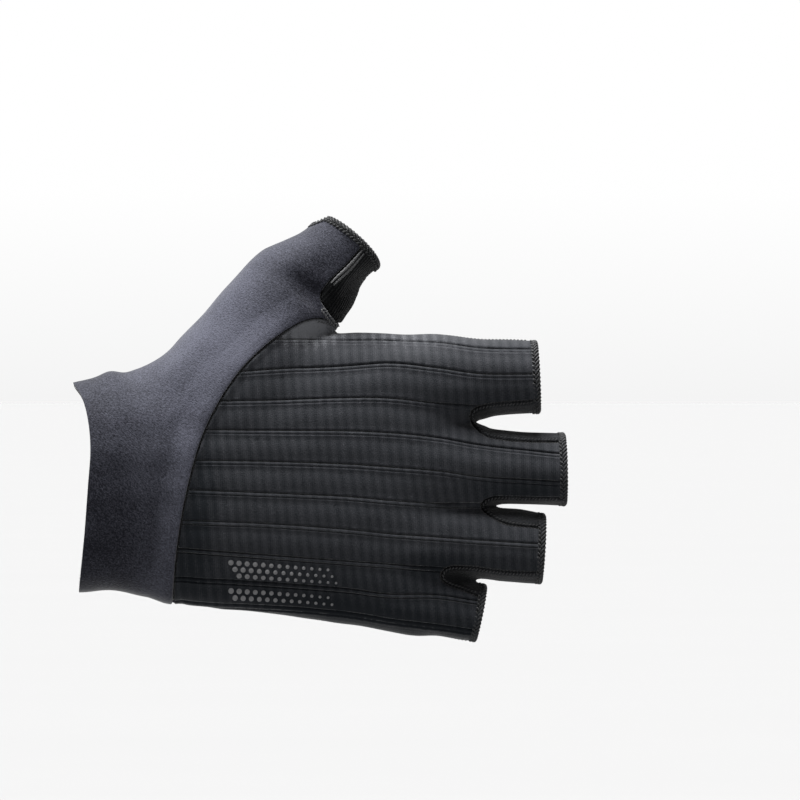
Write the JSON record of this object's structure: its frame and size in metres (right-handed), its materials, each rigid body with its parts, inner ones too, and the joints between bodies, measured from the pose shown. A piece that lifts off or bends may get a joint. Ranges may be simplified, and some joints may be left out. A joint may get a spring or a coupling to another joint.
{
  "type": "cycling glove",
  "caption": "Short-finger cycling glove for the right hand: smooth cuff and thumb, ribbed back, knitted strips between the fingers and stitched hems.",
  "frame": {"origin": "middle of the wrist opening, where the glove is held up as worn", "axes": "+X along the fingers, +Z towards the thumb; the back of the hand faces -Y and the palm +Y"},
  "size_m": [0.1532, 0.0401, 0.1326],
  "materials": {
    "cuff_cloth": "smooth matt stretch cloth, bluish charcoal",
    "back_cloth": "finely woven matt stretch cloth with pressed channels, black",
    "palm_cloth": "matt suede-like cloth, black",
    "knit": "open ridged knit, black",
    "hem_cloth": "turned and overstitched cloth, black"
  },
  "bodies": {
    "root": {"cuff_panel": "cuff_cloth", "back_panel": "back_cloth", "palm_panel": "palm_cloth", "thumb_gusset": "knit", "fourchette_index_middle": "knit", "fourchette_middle_ring": "knit", "fourchette_ring_little": "knit", "hem_thumb": "hem_cloth", "hem_index": "hem_cloth", "hem_middle": "hem_cloth", "hem_ring": "hem_cloth", "hem_little": "hem_cloth"}
  },
  "joints": []
}
